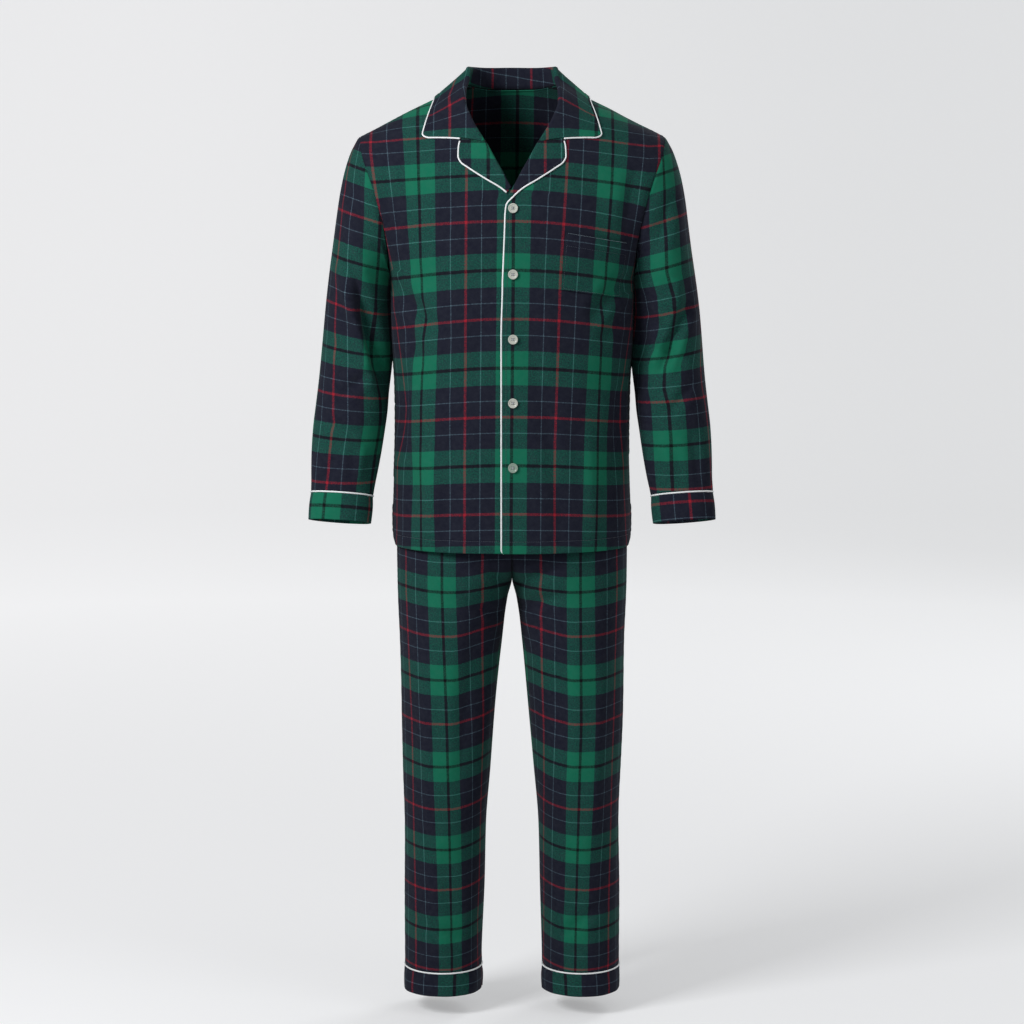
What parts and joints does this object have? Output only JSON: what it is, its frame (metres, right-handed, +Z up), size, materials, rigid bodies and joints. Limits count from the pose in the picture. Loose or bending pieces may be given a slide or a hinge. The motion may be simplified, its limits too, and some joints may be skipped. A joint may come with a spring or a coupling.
{
  "type": "pyjama set",
  "caption": "Long-sleeved pyjama jacket with a notched collar, chest pocket and turned-up cuffs, worn over straight trousers with banded hems.",
  "frame": {"origin": "on the centre line in the plane of the shoulder seams, 12 mm under the collar seam at the shoulder, where the jacket hangs on the wearer", "axes": "+X to the wearer's left, -Y the way the front faces, +Z up along the length of the set"},
  "size_m": [0.665, 0.2819, 1.5286],
  "materials": {
    "flannel": "matte",
    "piping": "matte",
    "button": "gloss"
  },
  "bodies": {
    "root": {"front_left": "flannel", "front_right": "flannel", "back": "flannel", "sleeve_left": "flannel", "sleeve_right": "flannel", "cuff_left": "flannel", "cuff_right": "flannel", "cuff_piping_left": "piping", "cuff_piping_right": "piping", "collar": "flannel", "collar_piping": "piping", "lapel_left": "flannel", "lapel_right": "flannel", "lapel_piping_right": "piping", "front_piping": "piping", "pocket": "flannel", "button_1": "button", "button_2": "button", "button_3": "button", "button_4": "button", "button_5": "button", "waistband": "flannel", "leg_front_left": "flannel", "leg_front_right": "flannel", "leg_back_left": "flannel", "leg_back_right": "flannel", "hem_band_left": "flannel", "hem_band_right": "flannel", "hem_piping_left": "piping", "hem_piping_right": "piping"}
  },
  "joints": []
}
